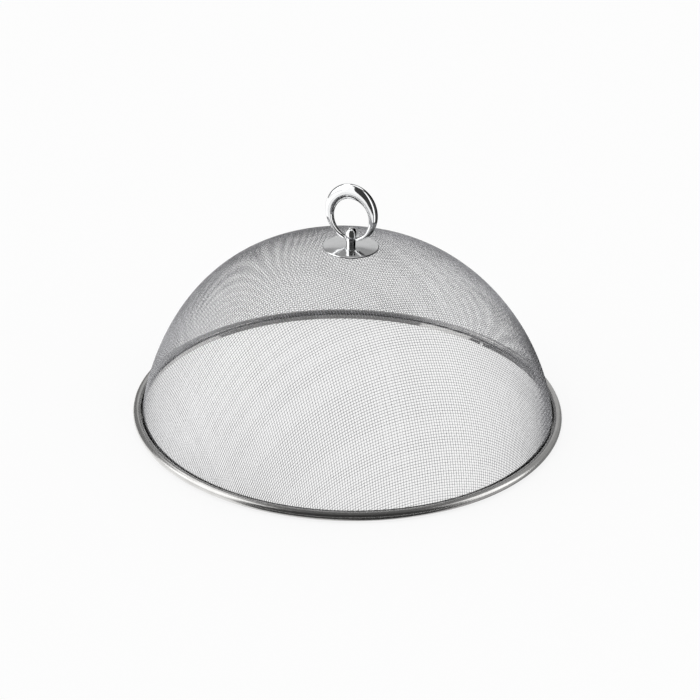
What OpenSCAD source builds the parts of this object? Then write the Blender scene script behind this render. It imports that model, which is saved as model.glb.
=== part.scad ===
// Round food cover: a dome of woven steel wire in a rolled steel rim, lifted by a folding crescent ring.
// The table is z = 0, +Z is up, and the ring folds about the X axis.

/* [Rim] */
// Outside diameter over the rim bead
rim_d = 300; // [270:5:400]
// Diameter of the rolled bead that runs round the outside
bead_d = 6; // [5:0.25:8]
// Thickness of the rim's steel strip
strip_t = 0.5; // [0.4:0.05:0.7]
// Height of the strip's inner leg above the table
leg_h = 4.3; // [3.8:0.1:6]
// Outside radius of the bend between the foot and the inner leg
bend_r = 1.1; // [0.8:0.1:1.5]
// Length of the overlap where the ends of the strip meet
lap_length = 15; // [10:1:24]
// Place of the overlap round the rim, in degrees from the X axis
lap_at = 70; // [0:1:359]
// Diameter of the rivet's shank in the overlap
rivet_d = 1.4; // [1:0.1:1.6]
// Diameter of the rivet's head
rivet_head_d = 2.6; // [2:0.1:3]
// Height of the rivet's head
rivet_head_h = 0.7; // [0.5:0.1:1]

/* [Mesh] */
// Height of the crown of the mesh above the table
crown_h = 123.2; // [95:0.1:135]
// Distance from wire to wire in the weave
weave_pitch = 1.85; // [1.5:0.05:2.5]
// Diameter of one woven wire
wire_d = 0.28; // [0.2:0.02:0.36]
// Woven wires that one strand of the model stands for
wires_per_strand = 7; // [5:1:12]
// Direction of the warp against the ring's axis, in degrees
weave_turn = -43; // [-45:1:45]

/* [Handle] */
// Outside width of the crescent ring
ring_w = 38.4; // [34:0.2:46]
// Outside height of the crescent ring
ring_h = 40.8; // [34:0.2:46]
// Height of the ring's metal at its top
ring_top_h = 10.6; // [8:0.2:12]
// Thickness of the ring at its thin ends
ring_end_t = 2.4; // [2.3:0.1:3.4]
// Diameter of the pins on which the ring turns
pin_d = 2; // [1.6:0.1:2.2]
// Length of each pin inside the post
pin_l = 2.3; // [1.6:0.1:2.8]
// Diameter of the post's head
head_d = 7.4; // [6.6:0.1:8.4]
// Diameter of the post's neck
neck_d = 6.3; // [5.6:0.1:6.6]
// Height of the neck above the base disc
neck_h = 3.2; // [2.6:0.1:3.3]
// Height of the ring's axis above the base disc
pivot_h = 4.5; // [4.5:0.1:6]
// Height of the post's domed tip above the base disc
post_h = 12.2; // [11:0.1:14]
// Rise of the dome on top of the post
tip_rise = 2.6; // [1.5:0.1:3.2]

/* [Clamp] */
// Diameter of the base disc under the post
disc_d = 38; // [32:1:46]
// Thickness of the base disc
disc_t = 1.2; // [0.8:0.1:1.6]
// Diameter of the backing washer inside the mesh
backing_d = 28; // [24:1:34]
// Thickness of the backing washer
backing_t = 1; // [0.8:0.1:1.4]
// Diameter of the clamp screw
screw_d = 4; // [3:0.5:4]
// Diameter of the screw's pan head
screw_head_d = 8; // [7:0.5:9]
// Height of the screw's pan head
screw_head_h = 2.6; // [2:0.1:3]
// Outside diameter of the spring lock washer
lock_d = 7.4; // [6:0.1:8]
// Thickness of the spring lock washer
lock_t = 1; // [0.7:0.1:1.2]
// Width of the slot in the screw's head
slot_w = 1; // [0.8:0.1:1.4]
// Space above the screw's tip in its hole
tip_gap = 0.3; // [0.2:0.1:0.6]
// Metal between the screw's hole and the bore for the pins
tap_wall = 0.8; // [0.6:0.1:1.2]

/* [Fits] */
// Play between a ring pin and its bore, on the radius
pin_play = 0.05; // [0.03:0.01:0.08]
// Play round the screw and the rivet, on the radius
shank_play = 0.06; // [0.04:0.01:0.1]
// Play round the screw where it passes the plates, on the radius
pass_play = 0.25; // [0.15:0.05:0.4]
// Space between the two layers of the mesh where wires cross
cross_gap = 0.06; // [0.04:0.01:0.1]
// Space between the mesh and the rim or plates that hold it
seat_gap = 0.15; // [0.1:0.01:0.25]
// Opening between the bead's lip and the mesh
lip_gap = 0.4; // [0.3:0.05:0.8]
// Space between the ring's ends and the post
ring_gap = 0.35; // [0.3:0.05:0.6]

/* [Hidden] */
$fn = 64;
rim_facets = 180;
lap_facets = 4 * rim_facets;

steel = [0.70, 0.71, 0.72];
wire_grey = [0.62, 0.63, 0.64];
bright = [0.86, 0.87, 0.89];

// Rim bead and its lip, where the mesh goes in
bead_r = bead_d / 2;
bead_x = rim_d / 2 - bead_r;
lip_turn = 155;
bottom_turn = 270;
lip_x = bead_x + bead_r * cos(lip_turn);
lip_z = bead_r + bead_r * sin(lip_turn);

// Sphere of the mesh: a strand carries the metal of the wires that it stands for
strand_d = wire_d * sqrt(wires_per_strand);
strand_pitch = weave_pitch * wires_per_strand;
mesh_half = strand_d + cross_gap / 2;
mesh_x = lip_x - lip_gap - mesh_half;
cap_h = crown_h - lip_z;
mesh_r = (mesh_x * mesh_x + cap_h * cap_h) / (2 * cap_h);
centre_z = crown_h - mesh_r;
mesh_out_r = mesh_r + mesh_half;
mesh_in_r = mesh_r - mesh_half;
wire_end_z = strip_t + bend_r;
last_wire_top = 2 * bead_d;
last_turn = acos((last_wire_top - centre_z) / mesh_r);
strands_per_side = floor(mesh_r * last_turn * PI / 180 / strand_pitch + 0.5);

// Inner leg of the rim, laid against the inside of the mesh at half its height
leg_mid_z = leg_h / 2;
lean = asin((leg_mid_z - centre_z) / mesh_r);
inward = [-cos(lean), -sin(lean)];
upward = [-sin(lean), cos(lean)];
leg_face = [0, centre_z] - inward * (mesh_in_r - seat_gap);
bend_run = (bend_r - leg_face[1] - inward[1] * (strip_t - bend_r)) / upward[1];
bend_mid = leg_face + inward * (strip_t - bend_r) + upward * bend_run;
leg_l = (leg_h - bend_mid[1]) / upward[1];
lap_angle = lap_length / mesh_x * 180 / PI;
overrun = bead_d;
join = strip_t / 4;
join_turn = 8;

// Rivet through the overlap
lap_t = strip_t;
rivet_mid = bend_mid + inward * (bend_r + lap_t) + upward * leg_l / 2;

// Plates that clamp the crown of the mesh
disc_in_r = mesh_out_r + seat_gap;
disc_top_z = centre_z + disc_in_r + disc_t;
backing_out_r = mesh_in_r - seat_gap;
backing_in_r = backing_out_r - backing_t;
pass_r = screw_d / 2 + pass_play;
lock_top_z = centre_z + sqrt(backing_in_r * backing_in_r - lock_d * lock_d / 4) - cross_gap;
lock_slit = lock_t;
screw_seat_z = lock_top_z - lock_t;
tap_r = screw_d / 2 + shank_play;
tap_top_z = disc_top_z + pivot_h - pin_d / 2 - tap_wall;
slot_share = 0.6;
slot_depth = slot_share * screw_head_h;
head_dome_share = 0.4;
head_dome_h = head_dome_share * screw_head_h;

// Crescent ring between two circles whose centres lie apart, both drawn out to the ring's height
pivot_z = disc_top_z + pivot_h;
ring_rise = ring_h / ring_w;
ring_top = ring_top_h / ring_rise;
ring_r = ring_w / 2;
hole_r = (ring_w - ring_top - ring_end_t) / 2;
ring_apart = (ring_top - ring_end_t) / 2;
post_clear = head_d / 2 + ring_gap;
end_reach = ring_r - ring_apart / 2 - ring_end_t / 2;
ring_mid_z = pivot_z + ring_rise * sqrt(end_reach ^ 2 - post_clear ^ 2);
end_turn = asin(post_clear / end_reach);
first_turn_share = 1.5;
first_turn = first_turn_share * end_turn;
top_depth_share = 0.55;
ring_steps = 44;
ring_sides = 16;
pin_start = head_d / 2 - pin_l;
tip_r = (head_d * head_d / 4 + tip_rise * tip_rise) / (2 * tip_rise);

// Reach of the outer and inner circle from the point between their centres, t degrees from straight down
function ring_out(t) = -ring_apart / 2 * cos(t) + sqrt(ring_r ^ 2 - (ring_apart / 2 * sin(t)) ^ 2);
function ring_in(t) = ring_apart / 2 * cos(t) + sqrt(hole_r ^ 2 - (ring_apart / 2 * sin(t)) ^ 2);
function ring_half(t) = (ring_out(t) - ring_in(t)) / 2;

// The section is round at the thin ends and a little flattened where the ring is wide
function ring_depth(t) =
    let (grown = (2 * ring_half(t) - ring_end_t) / (ring_top - ring_end_t))
    ring_half(t) * (1 - (1 - top_depth_share) * grown);

// Points of the ring's skin, s degrees round the section: t degrees round the ring, and at an end by the post
function ring_point(t, s) =
    let (reach = (ring_out(t) + ring_in(t)) / 2 + ring_half(t) * cos(s))
    [reach * sin(t), ring_depth(t) * sin(s), ring_mid_z - ring_rise * reach * cos(t)];
function end_point(side, s) =
    [side * post_clear, ring_end_t / 2 * sin(s), pivot_z - ring_end_t / 2 * cos(s)];

// A slice of the plane round a point, from one angle to another
module slice(at, from, to, reach) {
    steps = 6;
    turns = [for (i = [0 : steps]) from + (to - from) * i / steps];
    polygon(concat([at], [for (a = turns) at + reach * [cos(a), sin(a)]]));
}

// Cross-section of the bent strip: bead, foot, bend and inner leg
module rim_section() {
    difference() {
        translate([bead_x, bead_r]) circle(r = bead_r);
        translate([bead_x, bead_r]) circle(r = bead_r - strip_t);
        slice([bead_x, bead_r], lip_turn, bottom_turn, bead_d);
    }
    translate([bend_mid[0] - join, 0]) square([bead_x - bend_mid[0] + 2 * join, strip_t]);
    intersection() {
        difference() {
            translate(bend_mid) circle(r = bend_r);
            translate(bend_mid) circle(r = bend_r - strip_t);
        }
        slice(bend_mid, 180 + lean - join_turn, bottom_turn, bead_d);
    }
    leg_section(0, strip_t, 0);
}

// The leg's part of the section between two depths from the mesh inwards, held in from its edges
module leg_section(from, to, inset) {
    low = bend_mid + inward * (bend_r - strip_t) + upward * inset;
    run = leg_l - 2 * inset;
    polygon([
        low + inward * from,
        low + inward * to,
        low + inward * to + upward * run,
        low + inward * from + upward * run
    ]);
}

// Puts a shape on the rivet's place: +X points into the dome
module at_rivet() {
    rotate([0, 0, lap_at]) translate([rivet_mid[0], 0, rivet_mid[1]]) rotate([0, 180 - lean, 0]) children();
}

module rim_band() {
    color(steel) difference() {
        union() {
            rotate_extrude($fn = rim_facets) rim_section();
            rotate([0, 0, lap_at - lap_angle / 2])
                rotate_extrude(angle = lap_angle, $fn = lap_facets)
                leg_section(strip_t / 2, strip_t + lap_t, join);
        }
        at_rivet() rotate([0, 90, 0]) cylinder(r = rivet_d / 2 + shank_play, h = overrun, center = true);
    }
}

module rim_rivet() {
    dome_r = (rivet_head_d * rivet_head_d / 4 + rivet_head_h * rivet_head_h) / (2 * rivet_head_h);
    shank_l = strip_t + lap_t;
    color(bright) at_rivet() rotate([0, 90, 0]) rotate_extrude() {
        translate([0, -shank_l]) square([rivet_d / 2, shank_l + cross_gap]);
        translate([0, cross_gap]) intersection() {
            translate([0, rivet_head_h - dome_r]) circle(r = dome_r);
            square([rivet_head_d, rivet_head_h]);
        }
    }
}

// One layer of wires: arcs on a sphere, each in an upright plane, at even steps over the crown
module wire_layer(layer_r) {
    for (side = [-1, 1], i = [0 : strands_per_side - 1]) {
        turn = (i + 0.5) * strand_pitch / mesh_r * 180 / PI;
        off = side * layer_r * sin(turn);
        arc_r = layer_r * cos(turn);
        sweep = acos((wire_end_z - centre_z) / arc_r);
        translate([off, 0, centre_z])
            rotate([90, 0, 90])
            rotate_extrude(angle = 2 * sweep, start = 90 - sweep)
            translate([arc_r, 0]) circle(d = strand_d, $fn = 24);
    }
}

module warp_wires() {
    color(wire_grey) rotate([0, 0, weave_turn]) wire_layer(mesh_r + (strand_d + cross_gap) / 2);
}

module weft_wires() {
    color(wire_grey) rotate([0, 0, weave_turn + 90]) wire_layer(mesh_r - (strand_d + cross_gap) / 2);
}

// A round plate that follows the mesh, with a rounded edge and a hole for the screw
module crown_plate(out_r, thick, plate_d) {
    mid_r = out_r - thick / 2;
    edge_turn = asin((plate_d - thick) / 2 / mid_r);
    translate([0, 0, centre_z]) rotate_extrude() difference() {
        union() {
            intersection() {
                difference() {
                    circle(r = out_r);
                    circle(r = out_r - thick);
                }
                slice([0, 0], 90 - edge_turn, 90, 2 * out_r);
            }
            translate(mid_r * [sin(edge_turn), cos(edge_turn)]) circle(d = thick);
        }
        square([pass_r, 2 * out_r]);
    }
}

module base_disc() {
    color(bright) crown_plate(disc_in_r + disc_t, disc_t, disc_d);
}

module backing_washer() {
    color(steel) crown_plate(backing_out_r, backing_t, backing_d);
}

module lock_washer() {
    color(steel) translate([0, 0, lock_top_z - lock_t]) difference() {
        cylinder(d = lock_d, h = lock_t);
        translate([0, 0, -overrun]) cylinder(r = pass_r, h = lock_t + 2 * overrun);
        translate([0, -lock_slit / 2, -overrun]) cube([lock_d, lock_slit, lock_t + 2 * overrun]);
    }
}

module handle_post() {
    straight = post_h - tip_rise;
    color(bright) translate([0, 0, disc_top_z]) difference() {
        rotate_extrude() {
            square([neck_d / 2, neck_h]);
            translate([0, neck_h]) square([head_d / 2, straight - neck_h]);
            translate([0, straight]) intersection() {
                translate([0, tip_rise - tip_r]) circle(r = tip_r);
                square([head_d / 2, tip_rise]);
            }
        }
        translate([0, 0, pivot_h])
            rotate([0, 90, 0]) cylinder(r = pin_d / 2 + pin_play, h = 2 * head_d, center = true);
        translate([0, 0, -overrun]) cylinder(r = tap_r, h = tap_top_z - disc_top_z + overrun);
    }
}

module clamp_screw() {
    head_r = (screw_head_d * screw_head_d / 4 + head_dome_h * head_dome_h) / (2 * head_dome_h);
    color(steel) difference() {
        translate([0, 0, screw_seat_z - screw_head_h]) rotate_extrude() {
            intersection() {
                translate([0, head_r]) circle(r = head_r);
                square([screw_head_d / 2, head_dome_h]);
            }
            translate([0, head_dome_h]) square([screw_head_d / 2, screw_head_h - head_dome_h]);
            square([screw_d / 2, tap_top_z - tip_gap - screw_seat_z + screw_head_h]);
        }
        translate([-screw_head_d, -slot_w / 2, screw_seat_z - screw_head_h - overrun])
            cube([2 * screw_head_d, slot_w, slot_depth + overrun]);
    }
}

// Crescent skin: rings of points from one thin end round the top to the other
module crescent() {
    around = [for (j = [0 : ring_sides - 1]) 360 * j / ring_sides];
    turns = [for (i = [0 : ring_steps]) first_turn + (360 - 2 * first_turn) * i / ring_steps];
    skin = concat(
        [for (s = around) end_point(1, s)],
        [for (t = turns, s = around) ring_point(t, s)],
        [for (s = around) end_point(-1, s)]
    );
    spans = ring_steps + 2;
    last = spans * ring_sides;
    walls = [for (i = [0 : spans - 1], j = [0 : ring_sides - 1])
        let (a = i * ring_sides + j, b = i * ring_sides + (j + 1) % ring_sides)
        each [[b, a, b + ring_sides], [b + ring_sides, a, a + ring_sides]]];
    first_end = [for (j = [1 : ring_sides - 2]) [0, j, j + 1]];
    last_end = [for (j = [1 : ring_sides - 2]) [last, last + j + 1, last + j]];
    polyhedron(skin, concat(walls, first_end, last_end));
}

module handle_ring() {
    color(bright) union() {
        crescent();
        for (side = [-1, 1])
            translate([side * pin_start, 0, pivot_z])
                rotate([0, side * 90, 0]) cylinder(d = pin_d, h = pin_l + 2 * ring_gap);
    }
}

rim_band();
rim_rivet();
warp_wires();
weft_wires();
base_disc();
handle_post();
handle_ring();
backing_washer();
lock_washer();
clamp_screw();
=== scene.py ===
import math

import bmesh
import bpy
from mathutils import Matrix, Vector


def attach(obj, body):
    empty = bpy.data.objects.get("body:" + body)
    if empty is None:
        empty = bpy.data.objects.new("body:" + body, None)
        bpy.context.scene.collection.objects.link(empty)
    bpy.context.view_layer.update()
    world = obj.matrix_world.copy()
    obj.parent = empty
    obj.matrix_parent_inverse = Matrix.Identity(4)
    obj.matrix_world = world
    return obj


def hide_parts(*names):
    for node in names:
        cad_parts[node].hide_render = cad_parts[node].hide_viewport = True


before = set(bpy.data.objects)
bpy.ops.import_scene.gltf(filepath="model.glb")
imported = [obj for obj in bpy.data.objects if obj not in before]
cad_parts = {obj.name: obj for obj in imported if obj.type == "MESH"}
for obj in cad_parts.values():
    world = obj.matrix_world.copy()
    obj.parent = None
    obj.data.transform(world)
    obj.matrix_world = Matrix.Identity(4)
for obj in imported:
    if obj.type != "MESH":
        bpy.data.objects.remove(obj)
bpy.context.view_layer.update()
bpy.context.scene.view_settings.view_transform = "Standard"

# Rolled rim. One stainless strip is roll-formed into a hollow bead with a flat foot and an upright
# inner leg. The edge of the wire cloth is caught in the channel between the bead's lip and the leg,
# and the ends of the strip overlap on the inside of the leg.
MM = 0.001
RIM_RADIUS = 150 * MM
BEAD_RADIUS = 3 * MM
STRIP = 0.5 * MM
LIP_TURN = 155
BEND_RADIUS = 1.1 * MM
BEND_AT = Vector((143.342 * MM, BEND_RADIUS))
LEG_LEAN = math.radians(9.697)
LEG_LENGTH = 3.246 * MM
LAP_AT = 70
LAP_LENGTH = 15 * MM
LAP_SUNK = STRIP / 2
LAP_SHY = 0.1 * MM
ON_AXIS, SAME_PLACE = 1e-9, 1e-8
RIM_STEPS, LAP_STEPS, LAP_EDGE_STEPS = 400, 24, 5
BEAD_STEPS, INNER_BEAD_STEPS, BEND_STEPS, EDGE_STEPS = 48, 40, 10, 8
RIM_TINTS = (0.47, 0.465, 0.455, 1), (0.60, 0.595, 0.585, 1)
RIM_TINT_RANGE = 0.3, 0.62
RIM_ROUGHNESS = 0.30, 0.17
RIM_STREAKS = (9, 2600, 1)
RIM_SPOTS = 55.0
STREAK_STRENGTH, STREAK_DEPTH = 0.12, 0.05 * MM


def arc(middle, radius, start, end, steps):
    """Points of an arc in the upright plane through the axis, angles in degrees."""
    turns = [math.radians(start + (end - start) * i / steps) for i in range(steps + 1)]
    x, y = middle
    return [Vector((x + radius * math.cos(t), y + radius * math.sin(t))) for t in turns]


def lathe(name, outline, steps, start=0.0, sweep=360.0):
    """Turns a closed outline of (radius, height) points about the axis. A UV map holds the run
    round the axis and the run along the outline, in metres. A part turn gets end faces."""
    whole = sweep >= 360.0
    columns = steps if whole else steps + 1
    reach = max(p[0] for p in outline)
    count = len(outline)
    run = [0.0]
    for i in range(count):
        run.append(run[-1] + (outline[(i + 1) % count] - outline[i]).length)
    mesh = bpy.data.meshes.new(name)
    bm = bmesh.new()
    rows = []
    for i in range(columns):
        t = math.radians(start + sweep * i / steps)
        rows.append([bm.verts.new((p[0] * math.cos(t), p[0] * math.sin(t), p[1])) for p in outline])
    uv = bm.loops.layers.uv.new("run")
    around = math.radians(sweep) * reach / steps
    for i in range(steps):
        near, far = rows[i], rows[(i + 1) % columns]
        for j in range(count):
            k = (j + 1) % count
            corners = [(near[j], i, j), (near[k], i, j + 1)]
            corners += [(far[k], i + 1, j + 1), (far[j], i + 1, j)]
            if outline[j][0] < ON_AXIS and outline[k][0] < ON_AXIS:
                continue
            if outline[j][0] < ON_AXIS:
                corners = corners[:3]
            elif outline[k][0] < ON_AXIS:
                corners = [corners[0], corners[1], corners[3]]
            face = bm.faces.new([c[0] for c in corners])
            face.smooth = True
            for loop, (_, a, b) in zip(face.loops, corners):
                loop[uv].uv = (a * around, run[b])
    if not whole:
        bm.faces.new(rows[0])
        bm.faces.new(rows[-1])
    bmesh.ops.remove_doubles(bm, verts=bm.verts, dist=SAME_PLACE)
    bmesh.ops.recalc_face_normals(bm, faces=bm.faces)
    bm.to_mesh(mesh)
    bm.free()
    made = bpy.data.objects.new(name, mesh)
    bpy.context.scene.collection.objects.link(made)
    return made


def creases(piece, angle=35):
    """Keeps the edges sharper than this angle crisp and the rest smooth."""
    bm = bmesh.new()
    bm.from_mesh(piece.data)
    limit = math.radians(angle)
    for edge in bm.edges:
        edge.smooth = len(edge.link_faces) == 2 and edge.calc_face_angle(0.0) < limit
    bm.to_mesh(piece.data)
    bm.free()
    return piece


def new_material(name):
    """A plain Principled material, with its tree's nodes, links and shader."""
    made = bpy.data.materials.new(name)
    made.use_nodes = True
    tree = made.node_tree
    return made, tree.nodes, tree.links, tree.nodes["Principled BSDF"]


def node(nodes, kind, inputs=None, **settings):
    """Adds a shader or geometry node with its settings and unlinked input values."""
    made = nodes.new(kind)
    for key, value in settings.items():
        setattr(made, key, value)
    for key, value in (inputs or {}).items():
        made.inputs[key].default_value = value
    return made


def grain(nodes, links, scale, detail):
    """A noise pattern that is fixed to the piece."""
    place = node(nodes, "ShaderNodeTexCoord")
    noise = node(nodes, "ShaderNodeTexNoise", {"Scale": scale, "Detail": detail})
    links.new(place.outputs["Object"], noise.inputs["Vector"])
    return noise.outputs["Fac"]


def bare_metal(nodes, links, shader, pattern, tints, roughness, tint_range=(0.3, 0.7)):
    """Bare metal whose colour and roughness follow the middle of a 0 to 1 pattern."""
    shader.inputs["Metallic"].default_value = 1.0
    ramp = node(nodes, "ShaderNodeValToRGB")
    for stop, place, colour in zip(ramp.color_ramp.elements, tint_range, tints):
        stop.position, stop.color = place, colour
    links.new(pattern, ramp.inputs["Fac"])
    links.new(ramp.outputs["Color"], shader.inputs["Base Color"])
    mapped = node(nodes, "ShaderNodeMapRange", {"From Min": 0.25, "From Max": 0.75})
    mapped.inputs["To Min"].default_value, mapped.inputs["To Max"].default_value = roughness
    links.new(pattern, mapped.inputs["Value"])
    links.new(mapped.outputs["Result"], shader.inputs["Roughness"])


def bumps(nodes, links, shader, pattern, strength, depth):
    """Fine relief that follows a pattern."""
    bump = node(nodes, "ShaderNodeBump", {"Strength": strength, "Distance": depth})
    links.new(pattern, bump.inputs["Height"])
    links.new(bump.outputs["Normal"], shader.inputs["Normal"])


inward = Vector((-math.cos(LEG_LEAN), -math.sin(LEG_LEAN)))
upward = Vector((-math.sin(LEG_LEAN), math.cos(LEG_LEAN)))
bead_at = Vector((RIM_RADIUS - BEAD_RADIUS, BEAD_RADIUS))
leg_inner = BEND_AT + inward * BEND_RADIUS
leg_outer = BEND_AT + inward * (BEND_RADIUS - STRIP)
leg_top = (leg_inner + leg_outer) / 2 + upward * (LEG_LENGTH - STRIP / 2)
lip_edge = bead_at + (BEAD_RADIUS - STRIP / 2) * Vector(
    (math.cos(math.radians(LIP_TURN)), math.sin(math.radians(LIP_TURN)))
)
lean_turn = math.degrees(LEG_LEAN)
rim_outline = (
    arc(bead_at, BEAD_RADIUS, LIP_TURN, -90, BEAD_STEPS)
    + arc(BEND_AT, BEND_RADIUS, 270, 180 + lean_turn, BEND_STEPS)
    + arc(leg_top, STRIP / 2, 180 + lean_turn, lean_turn, EDGE_STEPS)
    + arc(BEND_AT, BEND_RADIUS - STRIP, 180 + lean_turn, 270, EDGE_STEPS)
    + arc(bead_at, BEAD_RADIUS - STRIP, -90, LIP_TURN, INNER_BEAD_STEPS)
    + arc(lip_edge, STRIP / 2, LIP_TURN + 180, LIP_TURN, EDGE_STEPS)[1:-1]
)
rim_band = creases(lathe("rolled_rim", rim_outline, RIM_STEPS, LAP_AT))

rim_steel, nodes, links, shader = new_material("rolled_stainless")
place = node(nodes, "ShaderNodeUVMap", uv_map="run")
stretch = node(nodes, "ShaderNodeMapping", {"Scale": RIM_STREAKS})
links.new(place.outputs["UV"], stretch.inputs["Vector"])
streaks = node(nodes, "ShaderNodeTexNoise", {"Scale": 1.0, "Detail": 4.0, "Roughness": 0.6})
links.new(stretch.outputs["Vector"], streaks.inputs["Vector"])
half_spots = node(nodes, "ShaderNodeMath", {1: 0.5}, operation="MULTIPLY")
links.new(grain(nodes, links, RIM_SPOTS, 5.0), half_spots.inputs[0])
both = node(nodes, "ShaderNodeMath", {1: 0.5}, operation="MULTIPLY_ADD")
links.new(streaks.outputs["Fac"], both.inputs[0])
links.new(half_spots.outputs[0], both.inputs[2])
bare_metal(nodes, links, shader, both.outputs[0], RIM_TINTS, RIM_ROUGHNESS, RIM_TINT_RANGE)
bumps(nodes, links, shader, streaks.outputs["Fac"], STREAK_STRENGTH, STREAK_DEPTH)

# Overlap of the strip's ends: a second thickness of the leg over a short length, with its free end
# cut square. It is part of the same strip, so it stands with the band for the one node.
lap_low = leg_inner - inward * LAP_SUNK
lap_turn = math.degrees(LAP_LENGTH / BEND_AT[0])
lap_edge = leg_inner + inward * STRIP / 2 + upward * (LEG_LENGTH - STRIP / 2)
lap_outline = [lap_low, leg_inner + inward * STRIP]
lap_outline += arc(lap_edge, STRIP / 2, 180 + lean_turn, 90 + lean_turn, LAP_EDGE_STEPS)
lap_outline += [lap_low + upward * (LEG_LENGTH - LAP_SHY)]
rim_lap = creases(lathe("rim_overlap", lap_outline, LAP_STEPS, LAP_AT - lap_turn / 2, lap_turn))
for piece in (rim_band, rim_lap):
    piece.data.materials.append(rim_steel)
    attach(piece, "cover")
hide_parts("rim_band")

# Rivet. A small round-headed steel rivet pins the overlap of the rim strip from the inside.
# Its shank is set flush on the face that the wire cloth lies on.
RIVET_RADIUS = 0.7 * MM
RIVET_HEAD_RADIUS = 1.3 * MM
RIVET_HEAD = 0.7 * MM
RIVET_SEAT = 0.06 * MM
RIVET_STEPS, RIVET_DOME_STEPS = 32, 10
STEEL_TINTS = (0.5, 0.5, 0.5, 1), (0.66, 0.66, 0.655, 1)
STEEL_ROUGHNESS = 0.22, 0.36
STEEL_GRAIN = 900.0

rivet_dome = (RIVET_HEAD_RADIUS**2 + RIVET_HEAD**2) / (2 * RIVET_HEAD)
rivet_side = math.degrees(math.asin(RIVET_HEAD_RADIUS / rivet_dome))
rivet_middle = (0, RIVET_SEAT + RIVET_HEAD - rivet_dome)
rivet_outline = [
    Vector((0, -2 * STRIP)),
    Vector((RIVET_RADIUS, -2 * STRIP)),
    Vector((RIVET_RADIUS, RIVET_SEAT)),
]
rivet_outline += arc(rivet_middle, rivet_dome, 90 - rivet_side, 90, RIVET_DOME_STEPS)
rim_rivet = creases(lathe("overlap_rivet", rivet_outline, RIVET_STEPS))
rivet_at = leg_inner + inward * STRIP + upward * LEG_LENGTH / 2
rivet_place = (
    Matrix.Rotation(math.radians(LAP_AT), 4, "Z")
    @ Matrix.Translation((rivet_at[0], 0, rivet_at[1]))
    @ Matrix.Rotation(math.pi - LEG_LEAN, 4, "Y")
    @ Matrix.Rotation(math.pi / 2, 4, "Y")
)
rim_rivet.data.transform(rivet_place)

plain_steel, nodes, links, shader = new_material("plain_bright_steel")
pattern = grain(nodes, links, STEEL_GRAIN, 4.0)
bare_metal(nodes, links, shader, pattern, STEEL_TINTS, STEEL_ROUGHNESS)
rim_rivet.data.materials.append(plain_steel)
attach(rim_rivet, "cover")
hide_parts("rim_rivet")

# Wire cloth. Plain-woven stainless wire is pressed into a dome: every wire keeps its distance along
# the wires that it crosses, so the square mesh shears into diamonds between the two thread lines.
# The wires pass over and under each other and end in the channel of the rim.
WEAVE_PITCH = 1.85 * MM
WIRE = 0.28 * MM
DOME_RADIUS = 145.568 * MM
DOME_CENTRE = -22.368 * MM
WIRE_END = 1.6 * MM
WEAVE_TURN = math.radians(-43)
SCREW_PASS = 2.5 * MM
FULLNESS = 2.3 * MM
FULLER_ON = 169
FULLER_BY = 3.7 * MM
FULL_FROM, FULL_TO, FULL_SKEW = math.radians(8), math.radians(78), 0.673
WEAVE_REACH = 113
WIRE_SIDES = 4
SAME_NUMBER, SAME_FLAG, NEXT_NUMBER, BELOW_ZERO = 0.5, 0.1, 1.5, -0.5
WIRE_TINTS = (0.413, 0.414, 0.428, 1), (0.532, 0.533, 0.552, 1)
WIRE_ROUGHNESS = 0.15, 0.25
WIRE_CLOUDS = 38.0


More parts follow.
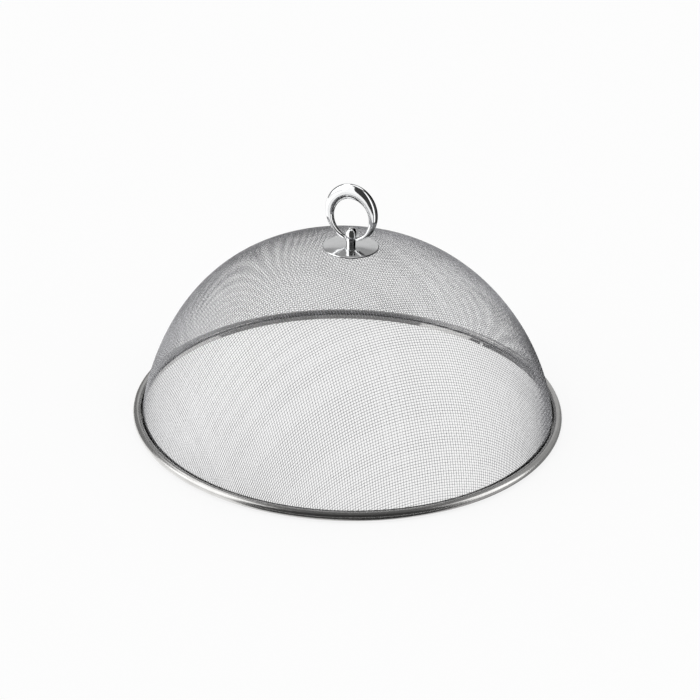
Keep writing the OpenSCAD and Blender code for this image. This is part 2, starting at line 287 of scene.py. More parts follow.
def weave_tree(wire_steel):
    """The node tree of one family of woven wires: a net with equal sides grown over a sphere."""
    tree = bpy.data.node_groups.new("woven_dome", "GeometryNodeTree")
    made, joins = tree.nodes, tree.links
    for kind, label in (
        ("NodeSocketFloat", "Radius"),
        ("NodeSocketFloat", "Centre Height"),
        ("NodeSocketFloat", "Pitch"),
        ("NodeSocketInt", "Reach"),
        ("NodeSocketFloat", "Wire Diameter"),
        ("NodeSocketInt", "Wire Sides"),
        ("NodeSocketFloat", "End Height"),
        ("NodeSocketFloat", "Hole Radius"),
        ("NodeSocketFloat", "Turn"),
        ("NodeSocketFloat", "Fullness"),
        ("NodeSocketVector", "Fuller Side"),
        ("NodeSocketFloat", "Full From"),
        ("NodeSocketFloat", "Full To"),
        ("NodeSocketFloat", "Full Skew"),
        ("NodeSocketBool", "Weft"),
        ("NodeSocketBool", "Far Half"),
    ):
        tree.interface.new_socket(label, in_out="INPUT", socket_type=kind)
    tree.interface.new_socket("Geometry", in_out="OUTPUT", socket_type="NodeSocketGeometry")
    given = node(made, "NodeGroupInput").outputs
    result = node(made, "NodeGroupOutput")

    def math_of(operation, a, b=None, c=None):
        step = node(made, "ShaderNodeMath", operation=operation)
        for slot, value in enumerate((a, b, c)):
            if isinstance(value, (int, float)):
                step.inputs[slot].default_value = value
            elif value is not None:
                joins.new(value, step.inputs[slot])
        return step.outputs[0]

    def vector_of(operation, a, b=None, scale=None):
        step = node(made, "ShaderNodeVectorMath", operation=operation)
        joins.new(a, step.inputs[0])
        if b is not None:
            joins.new(b, step.inputs[1])
        if scale is not None:
            joins.new(scale, step.inputs["Scale"])
        return step.outputs["Value" if operation in ("LENGTH", "DOT_PRODUCT") else "Vector"]

    def xyz(x, y, z):
        step = node(made, "ShaderNodeCombineXYZ")
        for slot, value in enumerate((x, y, z)):
            if value is not None:
                joins.new(value, step.inputs[slot])
        return step.outputs[0]

    def stored(label):
        step = node(made, "GeometryNodeInputNamedAttribute", {"Name": label}, data_type="FLOAT")
        return step.outputs["Attribute"]

    def store(geometry, label, value):
        step = node(made, "GeometryNodeStoreNamedAttribute", {"Name": label})
        step.data_type, step.domain = "FLOAT", "POINT"
        joins.new(geometry, step.inputs["Geometry"])
        joins.new(value, step.inputs["Value"])
        return step.outputs["Geometry"]

    def at_index(value, index, kind):
        step = node(made, "GeometryNodeFieldAtIndex", domain="POINT", data_type=kind)
        joins.new(value, step.inputs["Value"])
        joins.new(index, step.inputs["Index"])
        return step.outputs["Value"]

    def both_of(a, b):
        step = node(made, "FunctionNodeBooleanMath", operation="AND")
        joins.new(a, step.inputs[0])
        joins.new(b, step.inputs[1])
        return step.outputs[0]

    # A square net of crossings, each with its wire numbers counted from the crown
    side = math_of("MULTIPLY_ADD", given["Reach"], 2, 1)
    grid = node(made, "GeometryNodeMeshGrid")
    joins.new(side, grid.inputs["Vertices X"])
    joins.new(side, grid.inputs["Vertices Y"])
    number = node(made, "GeometryNodeInputIndex").outputs[0]
    column = math_of("FLOOR", math_of("DIVIDE", math_of("ADD", number, 0.5), side))
    row = math_of("SUBTRACT", number, math_of("MULTIPLY", column, side))
    net = store(grid.outputs["Mesh"], "warp_no", math_of("SUBTRACT", column, given["Reach"]))
    net = store(net, "weft_no", math_of("SUBTRACT", row, given["Reach"]))
    warp_no, weft_no = stored("warp_no"), stored("weft_no")

    # The two thread lines through the crown are great circles
    step_turn = math_of("DIVIDE", given["Pitch"], given["Radius"])
    warp_turn = math_of("MULTIPLY", warp_no, step_turn)
    weft_turn = math_of("MULTIPLY", weft_no, step_turn)
    out_turn = math_of("ADD", warp_turn, weft_turn)
    on_lines = vector_of(
        "SCALE",
        xyz(math_of("SINE", warp_turn), math_of("SINE", weft_turn), math_of("COSINE", out_turn)),
        scale=given["Radius"],
    )
    laid = node(made, "GeometryNodeSetPosition")
    joins.new(net, laid.inputs["Geometry"])
    joins.new(on_lines, laid.inputs["Position"])

    # Each further crossing mirrors the one two wires back, so that all sides stay one pitch long
    grow_in = node(made, "GeometryNodeRepeatInput")
    grow_out = node(made, "GeometryNodeRepeatOutput")
    grow_in.pair_with_output(grow_out)
    joins.new(laid.outputs["Geometry"], grow_in.inputs["Geometry"])
    joins.new(math_of("MULTIPLY", given["Reach"], 2), grow_in.inputs["Iterations"])
    sign_x, sign_y = math_of("SIGN", warp_no), math_of("SIGN", weft_no)
    back_x = math_of("SUBTRACT", number, math_of("MULTIPLY", sign_x, side))
    back_y = math_of("SUBTRACT", number, sign_y)
    back_xy = math_of("SUBTRACT", back_x, sign_y)
    here = node(made, "GeometryNodeInputPosition").outputs[0]
    beside_x, beside_y, behind = (
        at_index(here, number_back, "FLOAT_VECTOR") for number_back in (back_x, back_y, back_xy)
    )
    fold = vector_of("NORMALIZE", vector_of("CROSS_PRODUCT", beside_x, beside_y))
    mirrored = vector_of("REFLECT", behind, fold)
    ring_no = math_of("ADD", math_of("ABSOLUTE", warp_no), math_of("ABSOLUTE", weft_no))
    ring_now = math_of("ADD", grow_in.outputs["Iteration"], 2)
    turn_now = math_of("COMPARE", ring_no, ring_now, SAME_NUMBER)
    off_lines = math_of("MULTIPLY", math_of("ABSOLUTE", sign_x), math_of("ABSOLUTE", sign_y))
    grown = node(made, "GeometryNodeSetPosition")
    joins.new(grow_in.outputs["Geometry"], grown.inputs["Geometry"])
    joins.new(math_of("MULTIPLY", turn_now, off_lines), grown.inputs["Selection"])
    joins.new(mirrored, grown.inputs["Position"])
    joins.new(grown.outputs["Geometry"], grow_out.inputs["Geometry"])

    # Over and under: neighbouring crossings lie on opposite sides of the cloth
    parity = math_of("FLOORED_MODULO", math_of("ADD", warp_no, weft_no), 2)
    over = math_of("MULTIPLY_ADD", parity, 2, -1)
    family = math_of("MULTIPLY_ADD", given["Weft"], -2, 1)
    wire_radius = math_of("MULTIPLY", given["Wire Diameter"], 0.5)
    lift = math_of("MULTIPLY", math_of("MULTIPLY", over, family), wire_radius)
    split = node(made, "ShaderNodeSeparateXYZ")
    joins.new(here, split.inputs[0])
    keep = store(grow_out.outputs["Geometry"], "height", split.outputs["Z"])

    # The pressed cloth stands a little fuller than a sphere between the disc and the rim
    polar = math_of("ARCCOSINE", math_of("DIVIDE", split.outputs["Z"], given["Radius"]))
    between = node(made, "ShaderNodeMapRange")
    joins.new(polar, between.inputs["Value"])
    joins.new(given["Full From"], between.inputs["From Min"])
    joins.new(given["Full To"], between.inputs["From Max"])
    share = math_of("POWER", between.outputs["Result"], given["Full Skew"])
    swell = math_of("POWER", math_of("SINE", math_of("MULTIPLY", share, math.pi)), 2)
    to_side = vector_of("DOT_PRODUCT", here, given["Fuller Side"])
    to_side = math_of("DIVIDE", to_side, given["Radius"])
    lift = math_of("MULTIPLY_ADD", swell, math_of("ADD", given["Fullness"], to_side), lift)
    woven = node(made, "GeometryNodeSetPosition")
    joins.new(keep, woven.inputs["Geometry"])
    joins.new(vector_of("SCALE", vector_of("NORMALIZE", here), scale=lift), woven.inputs["Offset"])

    # One family's edges, down to the rim and clear of the screw
    ends = node(made, "GeometryNodeInputMeshEdgeVertices").outputs
    gap = math_of("ABSOLUTE", math_of("SUBTRACT", ends["Vertex Index 1"], ends["Vertex Index 2"]))
    along_y = math_of("LESS_THAN", gap, NEXT_NUMBER)
    chosen = math_of("COMPARE", along_y, math_of("SUBTRACT", 1, given["Weft"]), SAME_FLAG)
    lowest = math_of("SUBTRACT", given["End Height"], given["Centre Height"])
    height = stored("height")
    for end in ("Vertex Index 1", "Vertex Index 2"):
        above = math_of("GREATER_THAN", at_index(height, ends[end], "FLOAT"), lowest)
        chosen = both_of(chosen, above)
    for end in ("Position 1", "Position 2"):
        flat = node(made, "ShaderNodeVectorMath", {1: (1, 1, 0)}, operation="MULTIPLY")
        joins.new(ends[end], flat.inputs[0])
        off_axis = vector_of("LENGTH", flat.outputs["Vector"])
        chosen = both_of(chosen, math_of("GREATER_THAN", off_axis, given["Hole Radius"]))
    wire_no = node(made, "GeometryNodeSwitch", input_type="FLOAT")
    joins.new(given["Weft"], wire_no.inputs["Switch"])
    joins.new(at_index(warp_no, ends["Vertex Index 1"], "FLOAT"), wire_no.inputs["False"])
    joins.new(at_index(weft_no, ends["Vertex Index 1"], "FLOAT"), wire_no.inputs["True"])
    far_side = math_of("GREATER_THAN", wire_no.outputs["Output"], BELOW_ZERO)
    chosen = both_of(chosen, math_of("COMPARE", far_side, given["Far Half"], SAME_FLAG))
    lines = node(made, "GeometryNodeMeshToCurve")
    joins.new(woven.outputs["Geometry"], lines.inputs["Mesh"])
    joins.new(chosen, lines.inputs["Selection"])

    # Round wire along each line
    section = node(made, "GeometryNodeCurvePrimitiveCircle", mode="RADIUS")
    joins.new(given["Wire Sides"], section.inputs["Resolution"])
    joins.new(wire_radius, section.inputs["Radius"])
    wires = node(made, "GeometryNodeCurveToMesh", {"Fill Caps": True})
    joins.new(lines.outputs["Curve"], wires.inputs["Curve"])
    joins.new(section.outputs["Curve"], wires.inputs["Profile Curve"])
    smooth = node(made, "GeometryNodeSetShadeSmooth")
    joins.new(wires.outputs["Mesh"], smooth.inputs["Geometry"])
    placed = node(made, "GeometryNodeTransform")
    joins.new(smooth.outputs["Geometry"], placed.inputs["Geometry"])
    joins.new(xyz(None, None, given["Centre Height"]), placed.inputs["Translation"])
    joins.new(xyz(None, None, given["Turn"]), placed.inputs["Rotation"])
    real = node(made, "GeometryNodeRealizeInstances")
    joins.new(placed.outputs["Geometry"], real.inputs["Geometry"])
    coated = node(made, "GeometryNodeSetMaterial", {"Material": wire_steel})
    joins.new(real.outputs["Geometry"], coated.inputs["Geometry"])
    joins.new(coated.outputs["Geometry"], result.inputs["Geometry"])
    return tree


def grown_mesh(name, tree, sizes):
    """Runs a node tree with its named inputs and keeps the result as a plain mesh object."""
    made = bpy.data.objects.new(name, bpy.data.meshes.new(name + "_start"))
    bpy.context.scene.collection.objects.link(made)
    modifier = made.modifiers.new("grow", "NODES")
    modifier.node_group = tree
    sockets = {s.name: s.identifier for s in tree.interface.items_tree if s.in_out == "INPUT"}
    for label, value in sizes.items():
        modifier[sockets[label]] = value
    graph = bpy.context.evaluated_depsgraph_get()
    plain = bpy.data.meshes.new_from_object(made.evaluated_get(graph), depsgraph=graph)
    made.modifiers.remove(modifier)
    made.data = plain
    plain.name = name
    for label in [a.name for a in plain.attributes if a.name in ("warp_no", "weft_no", "height")]:
        plain.attributes.remove(plain.attributes[label])
    return made


wire_steel, nodes, links, shader = new_material("drawn_steel_wire")
pattern = grain(nodes, links, WIRE_CLOUDS, 4.0)
bare_metal(nodes, links, shader, pattern, WIRE_TINTS, WIRE_ROUGHNESS)

woven_dome = weave_tree(wire_steel)
fuller_turn = math.radians(FULLER_ON) - WEAVE_TURN
fuller_side = (FULLER_BY * math.cos(fuller_turn), FULLER_BY * math.sin(fuller_turn), 0)
cloth = []
for family, weft in (("warp", False), ("weft", True)):
    for half, far in (("near", False), ("far", True)):
        wires = grown_mesh(
            f"{family}_cloth_{half}",
            woven_dome,
            {
                "Radius": DOME_RADIUS,
                "Centre Height": DOME_CENTRE,
                "Pitch": WEAVE_PITCH,
                "Reach": WEAVE_REACH,
                "Wire Diameter": WIRE,
                "Wire Sides": WIRE_SIDES,
                "End Height": WIRE_END,
                "Hole Radius": SCREW_PASS,
                "Turn": WEAVE_TURN,
                "Fullness": FULLNESS,
                "Fuller Side": fuller_side,
                "Full From": FULL_FROM,
                "Full To": FULL_TO,
                "Full Skew": FULL_SKEW,
                "Weft": weft,
                "Far Half": far,
            },
        )
        cloth.append(wires)
        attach(wires, "cover")
        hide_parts(f"{family}_wires")

# Base disc. A pressed, polished and chromed steel disc with a rounded edge sits on the crown of the
# cloth, dished to its curve, and spreads the pull of the screw.
DISC_RADIUS = 19 * MM
DISC = 1.2 * MM
DISC_UNDER = 146.489 * MM
PASS_RADIUS = 2.25 * MM
PLATE_STEPS, PLATE_ARC_STEPS, PLATE_EDGE_STEPS = 128, 24, 14
CHROME_TINTS = (0.80, 0.805, 0.81, 1), (0.88, 0.885, 0.89, 1)
CHROME_HAZE, CHROME_SWELL = 120.0, 90.0
SWELL_STRENGTH, SWELL_DEPTH = 0.15, 0.8 * MM
PRESSED_ROUGHNESS = 0.1, 0.16


def dished(name, outer, thick, radius, hole):
    """A round plate on a sphere about the dome's centre, with a rounded edge and a hole."""
    centre = (0, DOME_CENTRE)
    inner, middle = outer - thick, outer - thick / 2
    edge = math.degrees(math.asin((radius - thick / 2) / middle))
    hole_above, hole_below = (math.degrees(math.asin(hole / r)) for r in (outer, inner))
    tip = arc(centre, middle, 90 - edge, 90 - edge, 1)[0]
    outline = arc(centre, outer, 90 - hole_above, 90 - edge, PLATE_ARC_STEPS)
    outline += arc(tip, thick / 2, 90 - edge, -90 - edge, PLATE_EDGE_STEPS)[1:-1]
    outline += arc(centre, inner, 90 - edge, 90 - hole_below, PLATE_ARC_STEPS)
    return creases(lathe(name, outline, PLATE_STEPS))


def chrome(name, roughness):
    """Bright plating with a faint haze and the slight swell of a buffed surface."""
    made, nodes, links, shader = new_material(name)
    haze = grain(nodes, links, CHROME_HAZE, 5.0)
    bare_metal(nodes, links, shader, haze, CHROME_TINTS, roughness)
    swell = grain(nodes, links, CHROME_SWELL, 1.0)
    bumps(nodes, links, shader, swell, SWELL_STRENGTH, SWELL_DEPTH)
    return made


base_disc = dished("crown_disc", DISC_UNDER + DISC, DISC, DISC_RADIUS, PASS_RADIUS)
base_disc.data.materials.append(chrome("pressed_chrome", PRESSED_ROUGHNESS))
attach(base_disc, "cover")
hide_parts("base_disc")

# Clamp under the crown: a dished steel backing washer inside the cloth, a split spring washer and a
# slotted pan-head screw that pulls the post down and pinches the cloth between washer and disc.
BACKING_OUTER = 144.647 * MM
BACKING = 1 * MM
BACKING_RADIUS = 14 * MM
LOCK_TOP = 121.172 * MM
LOCK = 1 * MM
LOCK_RADIUS = 3.7 * MM
SCREW_RADIUS = 2 * MM
SCREW_HEAD_RADIUS = 4 * MM
SCREW_HEAD = 2.6 * MM
SCREW_DOME = 1.04 * MM
SCREW_SLOT = 1 * MM
SCREW_SLOT_DEPTH = 1.56 * MM
SCREW_TIP = 127.721 * MM
SCREW_POINT = SCREW_RADIUS / 4
SCREW_STEPS, SCREW_DOME_STEPS = 64, 10

backing_washer = dished("backing_plate", BACKING_OUTER, BACKING, BACKING_RADIUS, PASS_RADIUS)
lock_low = LOCK_TOP - LOCK
lock_outline = [
    Vector((PASS_RADIUS, lock_low)),
    Vector((LOCK_RADIUS, lock_low)),
    Vector((LOCK_RADIUS, LOCK_TOP)),
    Vector((PASS_RADIUS, LOCK_TOP)),
]
slit = math.degrees(LOCK / LOCK_RADIUS)
lock_washer = creases(lathe("spring_washer", lock_outline, SCREW_STEPS, slit / 2, 360 - slit))
head_low = lock_low - SCREW_HEAD
head_round = (SCREW_HEAD_RADIUS**2 + SCREW_DOME**2) / (2 * SCREW_DOME)
head_turn = math.degrees(math.asin(SCREW_HEAD_RADIUS / head_round))
head_middle = (0, head_low + head_round)
screw_outline = arc(head_middle, head_round, -90, -90 + head_turn, SCREW_DOME_STEPS)
screw_outline += [
    Vector((SCREW_HEAD_RADIUS, lock_low)),
    Vector((SCREW_RADIUS, lock_low)),
    Vector((SCREW_RADIUS, SCREW_TIP - SCREW_POINT)),
    Vector((SCREW_RADIUS - SCREW_POINT, SCREW_TIP)),
    Vector((0, SCREW_TIP)),
]
clamp_screw = lathe("pan_screw", screw_outline, SCREW_STEPS)
slot_mesh = bpy.data.meshes.new("slot_cut")
slot_box = bmesh.new()
slot_size = (4 * SCREW_HEAD_RADIUS, SCREW_SLOT, 2 * SCREW_SLOT_DEPTH)
bmesh.ops.create_cube(slot_box, size=1)
bmesh.ops.scale(slot_box, vec=slot_size, verts=slot_box.verts)
bmesh.ops.translate(slot_box, vec=(0, 0, head_low), verts=slot_box.verts)
slot_box.to_mesh(slot_mesh)
slot_box.free()
slot_cut = bpy.data.objects.new("slot_cut", slot_mesh)
bpy.context.scene.collection.objects.link(slot_cut)
cut = clamp_screw.modifiers.new("slot", "BOOLEAN")
cut.object = slot_cut
cut.operation = "DIFFERENCE"
graph = bpy.context.evaluated_depsgraph_get()
slotted = bpy.data.meshes.new_from_object(clamp_screw.evaluated_get(graph), depsgraph=graph)
clamp_screw.modifiers.remove(cut)
clamp_screw.data = slotted
bpy.data.objects.remove(slot_cut)
creases(clamp_screw)
for piece, stands_for in (
    (backing_washer, "backing_washer"),
    (lock_washer, "lock_washer"),
    (clamp_screw, "clamp_screw"),
):
    piece.data.materials.clear()
    piece.data.materials.append(plain_steel)
    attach(piece, "cover")
    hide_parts(stands_for)

# Post. A turned and chromed steel post with a slim neck, a wider head and a domed tip stands on the
# disc. The head is left solid here, without the real cross bore for the ring's pins, and the screw
# enters a bore from below.
DISC_TOP = 125.321 * MM
NECK_RADIUS = 3.15 * MM
NECK = 3.2 * MM
HEAD_RADIUS = 3.7 * MM
POST = 12.2 * MM
TIP = 2.6 * MM
TAP_RADIUS = 2.06 * MM
TAP_TOP = 128.021 * MM
SOFT_EDGE = 0.35 * MM
POST_STEPS, SOFT_STEPS, TIP_STEPS = 96, 5, 14
POLISHED_ROUGHNESS = 0.035, 0.075

tip_round = (HEAD_RADIUS**2 + TIP**2) / (2 * TIP)
tip_turn = math.degrees(math.asin(HEAD_RADIUS / tip_round))
post_outline = [
    Vector((0, TAP_TOP)),
    Vector((TAP_RADIUS, TAP_TOP)),
    Vector((TAP_RADIUS, DISC_TOP)),
    Vector((NECK_RADIUS, DISC_TOP)),
    Vector((NECK_RADIUS, DISC_TOP + NECK)),
]
soft_middle = (HEAD_RADIUS - SOFT_EDGE, DISC_TOP + NECK + SOFT_EDGE)
tip_middle = (0, DISC_TOP + POST - tip_round)
post_outline += arc(soft_middle, SOFT_EDGE, -90, 0, SOFT_STEPS)
post_outline += arc(tip_middle, tip_round, 90 - tip_turn, 90, TIP_STEPS)
handle_post = creases(lathe("ring_post", post_outline, POST_STEPS))
polished_chrome = chrome("polished_chrome", POLISHED_ROUGHNESS)
handle_post.data.materials.append(polished_chrome)
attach(handle_post, "cover")
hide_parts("handle_post")

# Lifting ring. A cast, polished and chromed crescent, wide at the top and thin at its two ends.
# Short pins on the ends reach into the post's head, where the real cross bore is left out. The ring
# is built upright on a body of its own; the real one folds down flat to either side.
RING_RADIUS = 19.2 * MM
RING_RISE = 40.8 / 38.4
RING_TOP = 10.6 * MM / RING_RISE
RING_END = 2.4 * MM
RING_MIDDLE = 146.383 * MM
PIVOT = 129.821 * MM
END_AT = 4.05 * MM
PIN_RADIUS = 1 * MM
PIN_INNER = 1.4 * MM
TOP_DEPTH_SHARE = 0.55
RING_EDGE = 0.15 * MM
EDGE_STEP = 0.3 * RING_EDGE
RING_START = 1.5
RING_CREASE = 50
RING_STEPS = 160
RING_SIDES = 40

apart = (RING_TOP - RING_END) / 2
hole_radius = (2 * RING_RADIUS - RING_TOP - RING_END) / 2
end_turn = math.asin(END_AT / (RING_RADIUS - apart / 2 - RING_END / 2))
first_turn = RING_START * end_turn
ring_sweep = 2 * math.pi - 2 * first_turn


def ring_reach(t):
    """Outer and inner reach of the crescent from its middle, t from straight down."""
    shift, aside = apart / 2 * math.cos(t), apart / 2 * math.sin(t)
    outer = math.sqrt(RING_RADIUS**2 - aside**2) - shift
    inner = math.sqrt(hole_radius**2 - aside**2) + shift
    return outer, inner


def ring_row(t):
    """One round section of the crescent."""
    outer, inner = ring_reach(t)
    half = (outer - inner) / 2
    grown = (2 * half - RING_END) / (RING_TOP - RING_END)
    depth = half * (1 - (1 - TOP_DEPTH_SHARE) * grown)
    row = []
    for j in range(RING_SIDES):
        s = 2 * math.pi * j / RING_SIDES
        reach = (outer + inner) / 2 + half * math.cos(s)
        height = RING_MIDDLE - RING_RISE * reach * math.cos(t)
        row.append((reach * math.sin(t), depth * math.sin(s), height))
    return row


def end_row(side, at, radius):
    """One upright round section beside the post."""
    turns = [2 * math.pi * j / RING_SIDES for j in range(RING_SIDES)]
    return [(side * at, radius * math.sin(s), PIVOT - radius * math.cos(s)) for s in turns]


end_profile = (
    (PIN_INNER, PIN_RADIUS),
    (END_AT, PIN_RADIUS),
    (END_AT, RING_END / 2 - RING_EDGE),
    (END_AT + EDGE_STEP, RING_END / 2 - EDGE_STEP),
    (END_AT + RING_EDGE, RING_END / 2),
)
ring_rows = [end_row(1, at, radius) for at, radius in end_profile]
ring_rows += [ring_row(first_turn + ring_sweep * i / RING_STEPS) for i in range(RING_STEPS + 1)]
ring_rows += [end_row(-1, at, radius) for at, radius in reversed(end_profile)]
ring_mesh = bpy.data.meshes.new("lifting_ring")
skin = bmesh.new()
rows = [[skin.verts.new(p) for p in row] for row in ring_rows]
for near, far in zip(rows, rows[1:]):
    for j in range(RING_SIDES):
        k = (j + 1) % RING_SIDES
        skin.faces.new((near[j], near[k], far[k], far[j])).smooth = True
skin.faces.new(rows[0])
skin.faces.new(rows[-1])
bmesh.ops.recalc_face_normals(skin, faces=skin.faces)
skin.to_mesh(ring_mesh)
skin.free()
handle_ring = bpy.data.objects.new("lifting_ring", ring_mesh)
bpy.context.scene.collection.objects.link(handle_ring)
creases(handle_ring, RING_CREASE)
handle_ring.data.materials.append(polished_chrome)
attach(handle_ring, "ring")
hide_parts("handle_ring")

# Table. A plain white sheet under the cover, as in a product photograph. The camera sees it white,
# with the soft shadow of the wires, and the metal sees cards in its place.
HALF_FLOOR, FLOOR_LOW = 4.0, -0.0002
WHITE, PAPER, VEIL = (1, 1, 1, 1), (0.8, 0.8, 0.8, 1), (0.22, 0.22, 0.22, 1)
FLOOR_GLOW = 0.8


def emptied(made):
    """Clears the node tree of a material or world, and gives its nodes and links."""
    made.use_nodes = True
    made.node_tree.nodes.clear()
    return made.node_tree.nodes, made.node_tree.links


def glowing(nodes, links, surface, strength):
    """A surface with a white glow of its own."""
    glow = node(nodes, "ShaderNodeEmission", {"Color": WHITE, "Strength": strength})
    both = node(nodes, "ShaderNodeAddShader")
    links.new(surface.outputs[0], both.inputs[0])
    links.new(glow.outputs[0], both.inputs[1])
    return both.outputs[0]


def shown(nodes, links):
    """1 for rays from the camera and those that a piece mirrors or passes on, or else 0."""
    path = node(nodes, "ShaderNodeLightPath").outputs
    one = node(nodes, "ShaderNodeMath", operation="MAXIMUM")
    links.new(path["Is Camera Ray"], one.inputs[0])
    links.new(path["Is Glossy Ray"], one.inputs[1])
    two = node(nodes, "ShaderNodeMath", operation="MAXIMUM")
    links.new(one.outputs[0], two.inputs[0])
    links.new(path["Is Transmission Ray"], two.inputs[1])
    return two.outputs[0]


floor_mesh = bpy.data.meshes.new("floor")
sides = ((-1, -1), (1, -1), (1, 1), (-1, 1))
floor_corners = [(x * HALF_FLOOR, y * HALF_FLOOR, FLOOR_LOW) for x, y in sides]
floor_mesh.from_pydata(floor_corners, [], [(0, 1, 2, 3)])
floor = bpy.data.objects.new("floor", floor_mesh)
bpy.context.scene.collection.objects.link(floor)
white_sheet = bpy.data.materials.new("white_sheet")
nodes, links = emptied(white_sheet)
paper = node(nodes, "ShaderNodeBsdfDiffuse", {"Color": PAPER})
veil = node(nodes, "ShaderNodeBsdfDiffuse", {"Color": VEIL})
pick = node(nodes, "ShaderNodeMixShader")
links.new(shown(nodes, links), pick.inputs[0])
links.new(paper.outputs[0], pick.inputs[1])
links.new(glowing(nodes, links, veil, FLOOR_GLOW), pick.inputs[2])
out = node(nodes, "ShaderNodeOutputMaterial")
links.new(pick.outputs[0], out.inputs["Surface"])
floor.data.materials.append(white_sheet)
floor.visible_glossy = False

# Light. Three soft lamps and a pale surround light the table. The polished metal sees a ring of
# cards in their place: dark in front, white boxes at both sides and grey walls behind, as in the
# photograph. The handle and the cover see some of them differently, so those light only one.
SURROUND_LIGHT, SURROUND_SHOWN = 0.55, 1.0
VIEW_TURN = math.radians(25)
LAMP_SPREAD = math.radians(60)
CARD_FAR, CARD_NEAR, CARD_STEP = 1.9, 1.8, 4
CARD_HIGH, HANDLE_CARD_HIGH, HANDLE_CARD = 3.5, 3.4, 1.25
CARD_LOW, RIVET_CARD_LOW = -0.001, -0.0007
TABLE_NEAR, TABLE_FAR, TABLE_DARK_FAR = 0.2, 0.42, 0.6
INSIDE_NEAR, SHADE_NEAR, INSIDE_FAR = 0.12, 0.125, 0.142

surround = bpy.data.worlds.new("white_surround")
nodes, links = emptied(surround)
surround_range = {"To Min": SURROUND_LIGHT, "To Max": SURROUND_SHOWN}
level = node(nodes, "ShaderNodeMapRange", surround_range)
links.new(shown(nodes, links), level.inputs["Value"])
sky = node(nodes, "ShaderNodeBackground", {"Color": WHITE})
links.new(level.outputs["Result"], sky.inputs["Strength"])
out = node(nodes, "ShaderNodeOutputWorld")
links.new(sky.outputs[0], out.inputs["Surface"])
bpy.context.scene.world = surround


def seen_from(turn, far, height):
    """A place round the object, turned from the camera's side, in degrees to the camera's right."""
    t = VIEW_TURN + math.radians(turn)
    return Vector((far * math.sin(t), -far * math.cos(t), height))


for name, turn, far, height, power in (
    ("top_lamp", -150, 0.5, 1.7, 0.3),
    ("left_lamp", -70, 1.5, 1.7, 0.5),
    ("right_lamp", 72, 1.5, 1.4, 0.25),
):
    lamp = bpy.data.lights.new(name, "SUN")
    lamp.angle, lamp.energy = LAMP_SPREAD, power
    lamp_object = bpy.data.objects.new(name, lamp)
    lamp_ahead = -seen_from(turn, far, height)
    lamp_object.rotation_euler = lamp_ahead.to_track_quat("-Z", "Y").to_euler()
    lamp_object.visible_glossy = False
    bpy.context.scene.collection.objects.link(lamp_object)


def card(name, start, end, first, second, level, seen_by=None, clear=False):
    """A card round the object that only the metal sees, between two circles given by reach and
    height, with the brightness at which it shows and the pieces that see it lit. A clear card
    only adds light."""
    steps = max(2, round((end - start) / CARD_STEP))
    points, faces = [], []
    for i in range(steps + 1):
        turn = start + (end - start) * i / steps
        points += [seen_from(turn, *first), seen_from(turn, *second)]
    for i in range(steps):
        faces.append((2 * i, 2 * i + 2, 2 * i + 3, 2 * i + 1))
    board = bpy.data.materials.new(name)
    nodes, links = emptied(board)
    back = node(nodes, "ShaderNodeBsdfTransparent" if clear else "ShaderNodeBsdfDiffuse")
    back.inputs["Color"].default_value = WHITE if clear else (0, 0, 0, 1)
    out = node(nodes, "ShaderNodeOutputMaterial")
    links.new(glowing(nodes, links, back, level), out.inputs["Surface"])
    card_mesh = bpy.data.meshes.new(name)
    card_mesh.from_pydata(points, [], faces)
    card_mesh.materials.append(board)
    made = bpy.data.objects.new(name, card_mesh)
    made.visible_camera = made.visible_diffuse = made.visible_shadow = False
    bpy.context.scene.collection.objects.link(made)
    if seen_by:
        made.light_linking.receiver_collection = seen_by


def wall(reach, name, start, end, low, high, level, seen_by, clear=False):
    """An upright card, from and to so many degrees above the table as seen from its middle."""
    bottom, top = ((reach, reach * math.tan(math.radians(e))) for e in (low, high))
    card(name, start, end, bottom, top, level, seen_by, clear)


def lit_set(name, pieces):
    """The pieces that see a card lit."""
    made = bpy.data.collections.new(name)
    for piece in pieces:
        made.objects.link(piece)
    return made


handle_set = lit_set("handle_set", (handle_ring, handle_post, base_disc))
ring_set = lit_set("ring_set", (handle_ring,))
rivet_set = lit_set("rivet_set", (rim_rivet,))
clamp_pieces = (backing_washer, lock_washer, clamp_screw)
cover_set = lit_set("cover_set", (rim_band, rim_lap, rim_rivet, *cloth, *clamp_pieces))
for far_card in (
    ("front_flag", -53, 52, -52, 62, 0.05, None),
    ("front_flag_low", 0, 52, -80, -52, 0.05, None),
    ("front_edge", 52, 62, -60, 62, 0.2, None),
    ("right_box", 62, 99, -2, 47, 1.9, cover_set),
    ("right_low", 62, 99, -60, -2, 0.6, cover_set),
    ("right_wall", 99, 150, -2, 62, 0.42, cover_set),
    ("right_back_low", 99, 150, -60, -2, 0.3, cover_set),
    ("right_high", 62, 99, 47, 62, 0.45, cover_set),
    ("back_wall", 150, 196, 30, 62, 0.3, None),
    ("back_low_right", 150, 168, -10, 30, 0.62, cover_set),
    ("back_low", 168, 196, -10, 30, 0.62, None),
    ("left_back", 196, 255, -3, 43, 0.25, None),
    ("left_high", 200, 255, 43, 62, 1.7, None),
    ("left_box", 255, 306, 6, 62, 1.9, None),
    ("left_back_low", 180, 216, -60, -3, 0.45, None),
    ("left_low", 216, 304, -60, -3, 1.3, None),
):
    wall(CARD_FAR, *far_card)
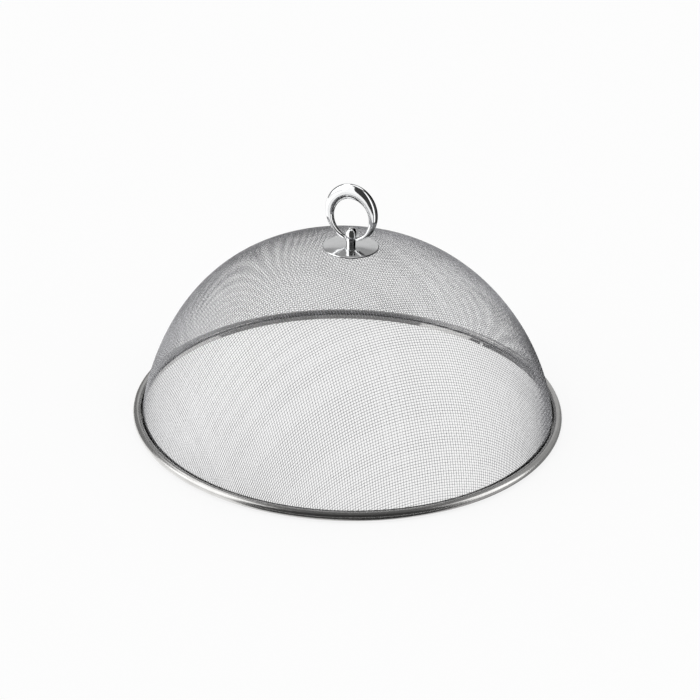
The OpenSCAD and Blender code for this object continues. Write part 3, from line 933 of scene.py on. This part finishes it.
for name, start, end, near, far, height, level, seen_by, clear in (
    ("ceiling", 0, 360, 0, CARD_FAR, CARD_HIGH, 0.14, None, False),
    ("handle_top", 0, 360, 0, HANDLE_CARD, HANDLE_CARD_HIGH, 1.1, handle_set, True),
    ("table_white", -75, -14, TABLE_NEAR, TABLE_FAR, CARD_LOW, 1.0, None, False),
    ("table_front", -14, 46, TABLE_NEAR, TABLE_FAR, CARD_LOW, 1.0, cover_set, True),
    ("table_dark", 48, 150, TABLE_NEAR, TABLE_DARK_FAR, CARD_LOW, 0.05, None, False),
    ("table_inside", 0, 360, 0, INSIDE_NEAR, CARD_LOW, 1.0, cover_set, False),
    ("table_inside_right", 141, 158, INSIDE_NEAR, INSIDE_FAR, CARD_LOW, 1.2, cover_set, False),
    ("table_inside_shade", 100, 141, SHADE_NEAR, INSIDE_FAR, CARD_LOW, 0.15, None, False),
    ("rivet_table", 110, 150, INSIDE_NEAR, INSIDE_FAR, RIVET_CARD_LOW, 2.2, rivet_set, True),
    ("table_inside_left", 222, 300, INSIDE_NEAR, INSIDE_FAR, CARD_LOW, 1.0, cover_set, False),
    ("table_inside_back", 158, 222, INSIDE_NEAR, INSIDE_FAR, CARD_LOW, 0.3, cover_set, False),
):
    card(name, start, end, (near, height), (far, height), level, seen_by, clear)
for near_card in (
    ("ring_strip", -1, 23, -28, 55, 1.3, ring_set),
    ("handle_fill", -54, -42, -40, 45, 1.1, handle_set),
    ("back_lift", 150, 196, 30, 62, 0.25, cover_set),
    ("left_back_lift", 180, 216, -60, -3, 0.85, cover_set),
):
    wall(CARD_NEAR, *near_card, clear=True)

# Camera, at the photograph's height and distance, with its slight tilt.
CAMERA_FAR, CAMERA_HEIGHT = 1.0949, 0.6030
CAMERA_AT = seen_from(0, CAMERA_FAR, CAMERA_HEIGHT)
CAMERA_AIM = Vector((0.000825, 0.000385, 0.0457))
CAMERA_ROLL = math.radians(1.2)
FOCAL_PIXELS, FRAME_PIXELS, SENSOR = 1775, 700, 36
CLIP_NEAR, CLIP_FAR = 0.01, 20

ahead = (CAMERA_AIM - CAMERA_AT).normalized()
right = ahead.cross(Vector((0, 0, 1))).normalized()
above = right.cross(ahead)
tilt_right = math.cos(CAMERA_ROLL) * right + math.sin(CAMERA_ROLL) * above
tilt_up = -math.sin(CAMERA_ROLL) * right + math.cos(CAMERA_ROLL) * above
lens = bpy.data.cameras.new("camera")
lens.sensor_width = SENSOR
lens.lens = FOCAL_PIXELS / FRAME_PIXELS * SENSOR
lens.clip_start, lens.clip_end = CLIP_NEAR, CLIP_FAR
camera = bpy.data.objects.new("camera", lens)
camera.matrix_world = Matrix(
    [(tilt_right[i], tilt_up[i], -ahead[i], CAMERA_AT[i]) for i in range(3)] + [(0, 0, 0, 1)]
)
bpy.context.scene.collection.objects.link(camera)
bpy.context.scene.camera = camera
